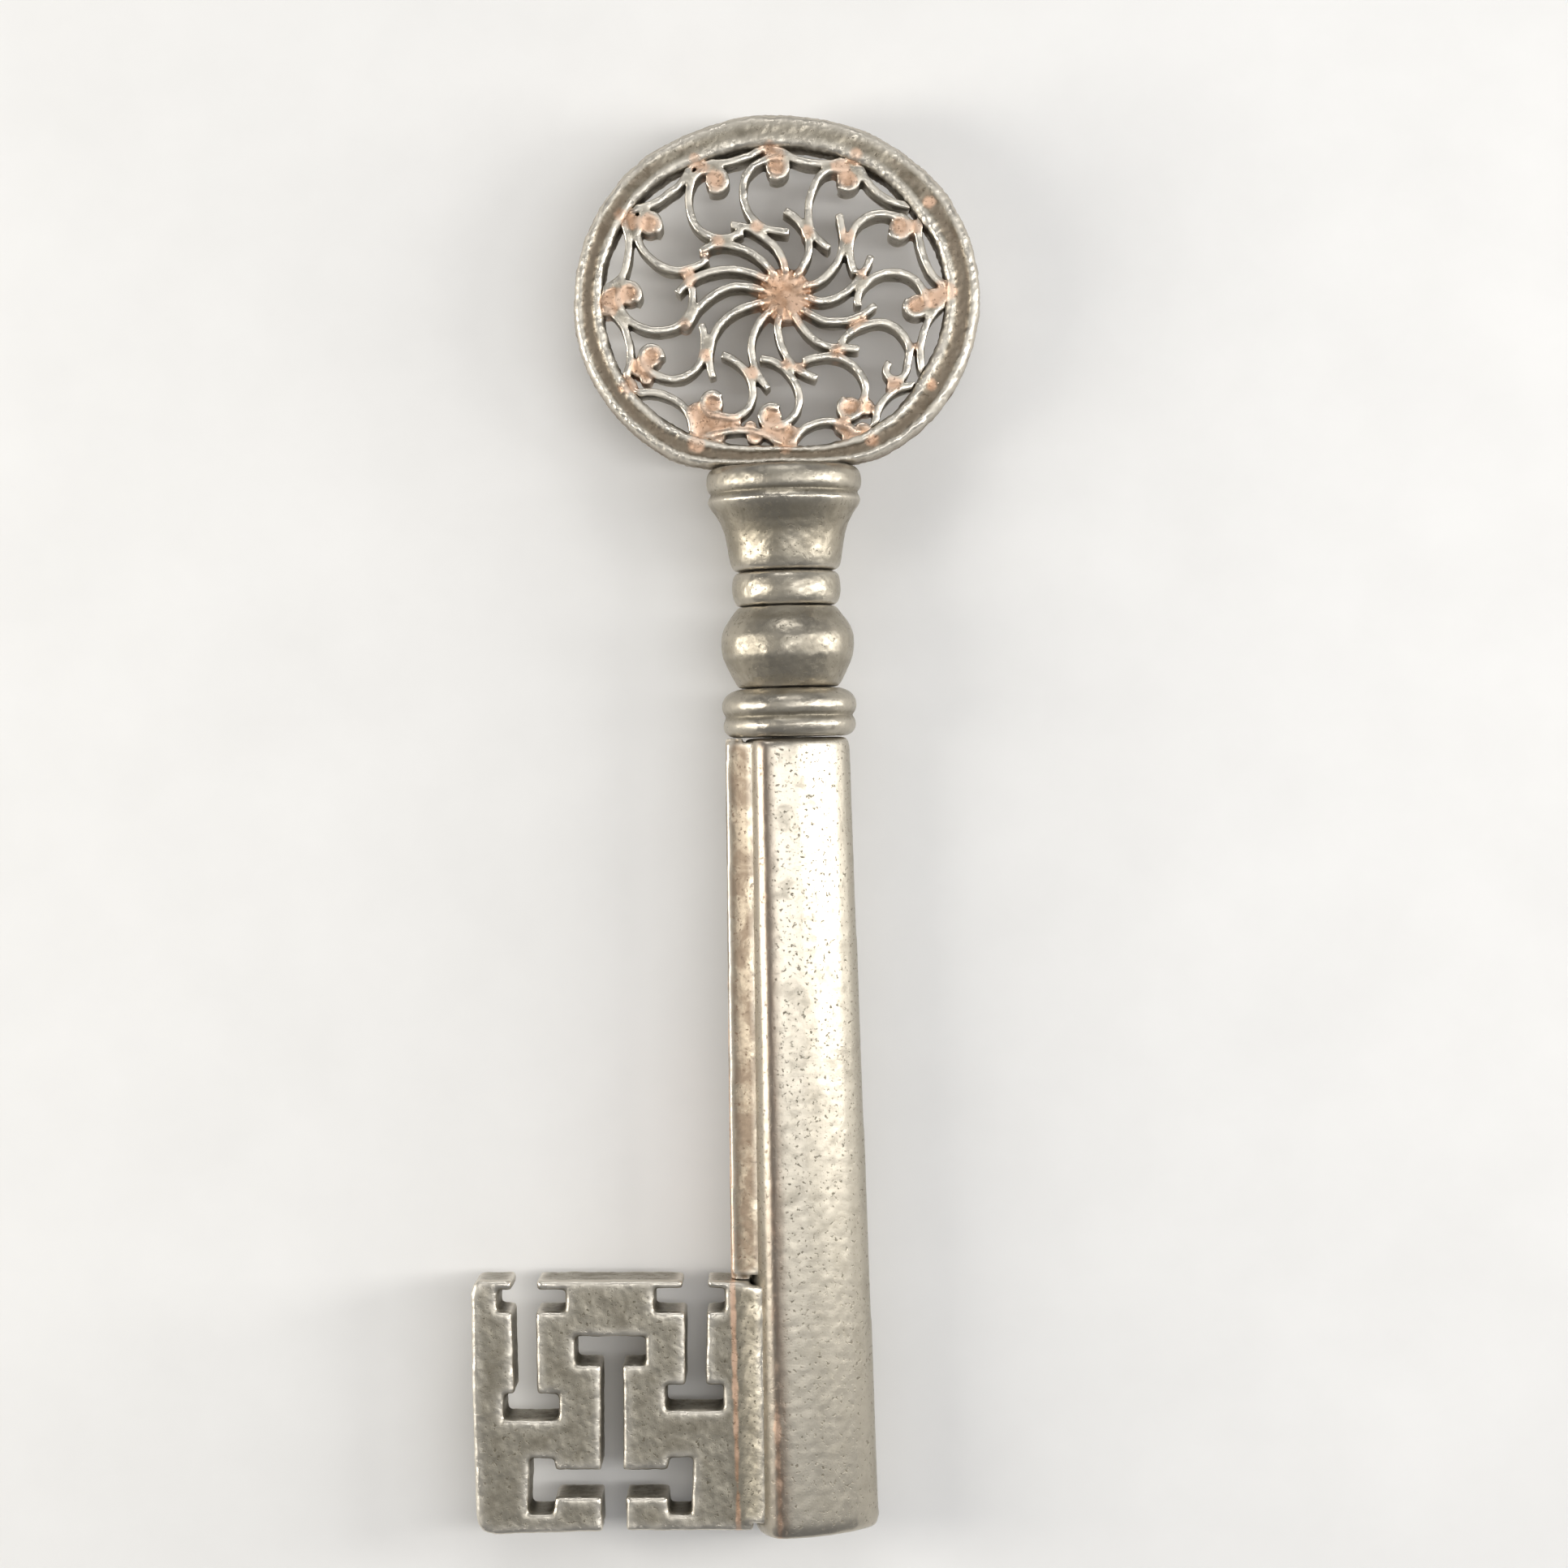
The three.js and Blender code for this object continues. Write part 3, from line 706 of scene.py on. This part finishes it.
# Place and width of the painted shade along the crest, in photograph units from the axis.
CREST_AT, CREST_WIDTH = -34, 10
COPPER_AT, COPPER_WIDTH = -36, 5
COPPER_FAINT, COPPER_MORE, COPPER_FADE = 0.35, 0.4, 0.004
COPPER_FROM = at(955, 1690)[1]
SEAM_AT, SEAM_WIDTH, SEAM_STRENGTH = -87, 4, 0.9


def line_along(co, place, width):
    """1 on a line along the shank, in photograph units from its axis, and less beside it."""
    return np.exp(-(((co[:, 0] - AXIS_X) / UNIT - place) / width) ** 2)


def shank_masks(co):
    front = co[:, 2] > AXIS_Z + FRONT_HEIGHT
    low = np.clip((COPPER_FROM - co[:, 1]) / COPPER_FADE, 0, 1)
    copper = line_along(co, COPPER_AT, COPPER_WIDTH) * front
    # The brown band is painted shade, on the top only; the copper line is braze.
    return {"brown_patina_and_shade": np.clip(line_along(co, CREST_AT, CREST_WIDTH) * front, 0, 1),
            "braze": copper * (COPPER_FAINT + COPPER_MORE * low)}


def seam_masks(co):
    return {"braze": line_along(co, SEAM_AT, SEAM_WIDTH) * SEAM_STRENGTH}


# %% Coves
BIT_HALF = 0.0032
RIB_HALF = 0.0025
SHANK_TOP_AT, SHANK_LENGTH_AT = 909, 973
TOP_SHARE = 0.85
# Across the cove: place from the axis in photograph units, and rise in millimetres.
COVE = [(-92, 0), (-86, 0.05), (-79, 0.18), (-72, 0.42), (-66, 0.72), (-60, 1.05), (-52, 1.3),
        (-46, -0.3), (-92, -0.3)]


def cove_mesh(first, last, under):
    """The cove beside the shank, front and back, on what stands out by under on each side."""
    bm = bmesh.new()
    for side in (1, -1):
        rings = []
        for py in (first, last):
            y = at(905, py)[1]
            share = TOP_SHARE + (1 - TOP_SHARE) * (py - SHANK_TOP_AT) / SHANK_LENGTH_AT
            rings.append([bm.verts.new((AXIS_X + px * share * UNIT, y,
                                        AXIS_Z + side * (under + 0.001 * rise)))
                          for px, rise in COVE])
        bridge(bm, rings)
    bmesh.ops.recalc_face_normals(bm, faces=bm.faces)
    return mesh_from(bm, "cove")


# %% Shank, rib and bit
dress("shank_iron", ["shank"], STEM_METAL, voxel=0.00024, rounds=20,
      rough=0.000005, seed=23, masks=shank_masks, wear_and_sheen_reach=2.2)
dress("rib_iron", ["rib"], RIB_METAL, voxel=0.00014, rounds=5, rough=0.000012,
      seed=29, swell=0.00004, extra=[cove_mesh(916, 1566, RIB_HALF)], masks=seam_masks)
dress("bit_iron", ["bit"], BIT_METAL, voxel=0.00018, rounds=5, rough=0.00002,
      seed=31, extra=[cove_mesh(1578, 1868, BIT_HALF)], masks=seam_masks)

# %% [markdown]
# ## Floor
# The key lies on a pale, matt floor that takes its shadow. It is stage, not part of the key.

# %% Floor
FLOOR_REACH = 1.2
FLOOR_GRAIN = 60
FLOOR_TONES = [(0.3, (0.78, 0.77, 0.75)), (0.7, (0.82, 0.81, 0.79))]
floor_mesh = bpy.data.meshes.new("floor")
floor_mesh.from_pydata([(x * FLOOR_REACH, y * FLOOR_REACH, 0)
                        for x, y in ((-1, -1), (1, -1), (1, 1), (-1, 1))], [], [(0, 1, 2, 3)])
floor = bpy.data.objects.new("floor", floor_mesh)
bpy.context.scene.collection.objects.link(floor)
floor_material = bpy.data.materials.new("floor")
floor_material.use_nodes = True
floor_tree = floor_material.node_tree
floor_shader = floor_tree.nodes["Principled BSDF"]
floor_shader.inputs["Roughness"].default_value = 0.9
floor_coords = floor_tree.nodes.new("ShaderNodeTexCoord").outputs["Object"]
floor_tone = ramp_node(floor_tree, noise_node(floor_tree, floor_coords, FLOOR_GRAIN), FLOOR_TONES)
floor_tree.links.new(floor_tone, floor_shader.inputs["Base Color"])
floor_mesh.materials.append(floor_material)

# %% [markdown]
# ## Light
# Worn metal is drawn by what it reflects. Two long soft lamps stand low at the left and right,
# so the flanks of the shank and the edges of the bow catch them. A narrow one stands high at
# the right, and a weak one beyond the head. The world fills the rest at a low level.

# %% Light
WORLD_COLOUR, WORLD_STRENGTH = (0.93, 0.95, 1, 1), 0.24
world = bpy.data.worlds.new("studio")
world.use_nodes = True
bpy.context.scene.world = world
background = world.node_tree.nodes["Background"]
background.inputs["Color"].default_value = WORLD_COLOUR
background.inputs["Strength"].default_value = WORLD_STRENGTH
MIDDLE = (*at(PICTURE_SIZE / 2, PICTURE_SIZE / 2), AXIS_Z)


def area_light(name, place, size, energy, tint=(1, 1, 1)):
    """A rectangular lamp that looks at the middle of the key."""
    data = bpy.data.lights.new(name, "AREA")
    data.shape = "RECTANGLE"
    data.size, data.size_y = size
    data.energy = energy
    data.color = tint
    lamp = bpy.data.objects.new(name, data)
    lamp.location = place
    lamp.rotation_euler = (Vector(MIDDLE) - Vector(place)).to_track_quat("-Z", "Y").to_euler()
    bpy.context.scene.collection.objects.link(lamp)


area_light("left", (-0.36, 0.0, 0.14), (0.10, 0.42), 1.4, (1, 0.97, 0.91))
area_light("right", (0.38, 0.02, 0.12), (0.10, 0.42), 1.4, (1, 0.99, 0.97))
area_light("high_right", (0.16, 0.0, 0.5), (0.07, 0.4), 0.9)
area_light("head", (0.0, 0.42, 0.34), (0.3, 0.12), 0.5)

# %% [markdown]
# ## Camera
# The photograph looks straight down on the key. At this height above the middle plane the
# picture is as wide as the photograph's units say, and the small roll is the key's lean.

# %% Camera
CAMERA_HEIGHT = 0.34
SENSOR_WIDTH = 36
camera_data = bpy.data.cameras.new("camera")
camera = bpy.data.objects.new("camera", camera_data)
bpy.context.scene.collection.objects.link(camera)
bpy.context.scene.camera = camera
camera_data.sensor_fit = "HORIZONTAL"
camera_data.sensor_width = SENSOR_WIDTH
camera_data.lens = SENSOR_WIDTH * CAMERA_HEIGHT / (PICTURE_SIZE * UNIT)
camera_data.clip_start = 0.01
camera.location = (MIDDLE[0], MIDDLE[1], AXIS_Z + CAMERA_HEIGHT)
camera.rotation_euler = (0, 0, -math.atan(LEAN))
bpy.context.scene.view_settings.view_transform = "Standard"
print(f"lens {camera_data.lens:.1f} mm")
